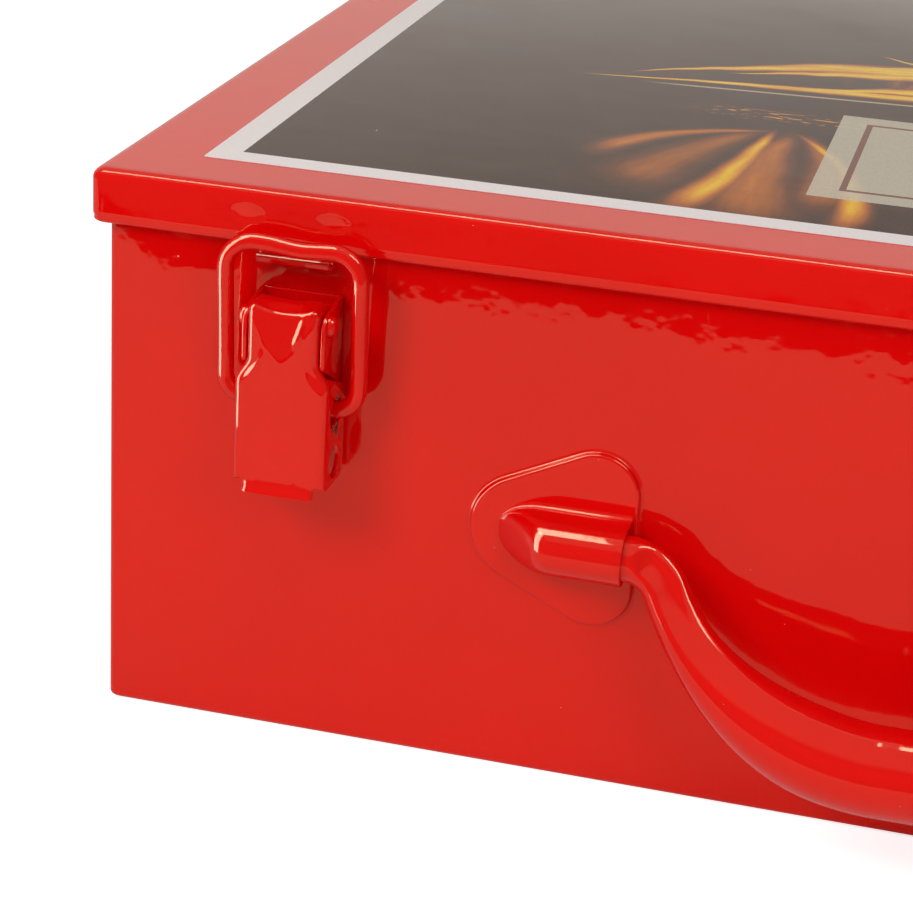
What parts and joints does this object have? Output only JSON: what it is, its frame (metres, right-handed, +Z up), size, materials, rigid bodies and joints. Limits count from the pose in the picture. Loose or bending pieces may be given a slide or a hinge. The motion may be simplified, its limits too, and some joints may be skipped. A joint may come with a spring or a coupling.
{
  "type": "latched metal carrying case",
  "caption": "Shallow painted sheet-steel carrying case with a hinged lid, wire-bail toggle latches and a swinging tube handle on the front.",
  "frame": {"origin": "centre of the underside, which the case rests on", "axes": "+X along the case's width to the viewer's right, +Z up, the latches and handle face -Y, the hinges are at +Y"},
  "size_m": [0.406, 0.3399, 0.1202],
  "materials": {
    "shell_enamel": "glossy red enamel on thin folded sheet, faint orange peel",
    "latch_enamel": "glossy red enamel, worn to bare steel beside the bail holes",
    "handle_enamel": "glossy red enamel on tube and pressed plate",
    "printed_film": "glossy printed film, dark picture with a pale border",
    "pin_steel": "plain steel pin"
  },
  "bodies": {
    "case": {"body_shell": "shell_enamel", "hinge_leaf_body_left": "shell_enamel", "hinge_leaf_body_right": "shell_enamel", "hinge_pin_left": "pin_steel", "hinge_pin_right": "pin_steel", "latch_base_left": "latch_enamel", "latch_base_right": "latch_enamel", "latch_pin_left": "latch_enamel", "latch_pin_right": "latch_enamel", "handle_bracket_left": "handle_enamel", "handle_bracket_right": "handle_enamel"},
    "lid": {"lid_shell": "shell_enamel", "lid_label": "printed_film", "hinge_leaf_lid_left": "shell_enamel", "hinge_leaf_lid_right": "shell_enamel", "latch_catch_left": "latch_enamel", "latch_catch_right": "latch_enamel"},
    "lever_left": {"latch_lever_left": "latch_enamel"},
    "lever_right": {"latch_lever_right": "latch_enamel"},
    "bail_left": {"latch_bail_left": "latch_enamel"},
    "bail_right": {"latch_bail_right": "latch_enamel"},
    "handle": {"handle_bar": "handle_enamel"}
  },
  "joints": [
    {"name": "lid_hinge", "type": "hinge", "parent": "case", "child": "lid", "pos_m": [0, 0.156, 0.105], "axis": [-1, 0, 0], "range_deg": [0, 105]},
    {"name": "lever_left_turn", "type": "hinge", "parent": "case", "child": "lever_left", "pos_m": [-0.1585, -0.1594, 0.096], "axis": [-1, 0, 0], "range_deg": [0, 130]},
    {"name": "bail_left_turn", "type": "hinge", "parent": "lever_left", "child": "bail_left", "pos_m": [-0.1585, -0.1562, 0.0775], "axis": [-1, 0, 0], "range_deg": [-130, 0]},
    {"name": "lever_right_turn", "type": "hinge", "parent": "case", "child": "lever_right", "pos_m": [0.1585, -0.1594, 0.096], "axis": [-1, 0, 0], "range_deg": [0, 130]},
    {"name": "bail_right_turn", "type": "hinge", "parent": "lever_right", "child": "bail_right", "pos_m": [0.1585, -0.1562, 0.0775], "axis": [-1, 0, 0], "range_deg": [-130, 0]},
    {"name": "handle_swing", "type": "hinge", "parent": "case", "child": "handle", "pos_m": [0, -0.157, 0.0552], "axis": [-1, 0, 0], "range_deg": [-22, 148]}
  ],
  "couplings": [
    {"joint": "bail_left_turn", "follows": "lever_left_turn", "ratio": -1},
    {"joint": "bail_right_turn", "follows": "lever_right_turn", "ratio": -1}
  ]
}
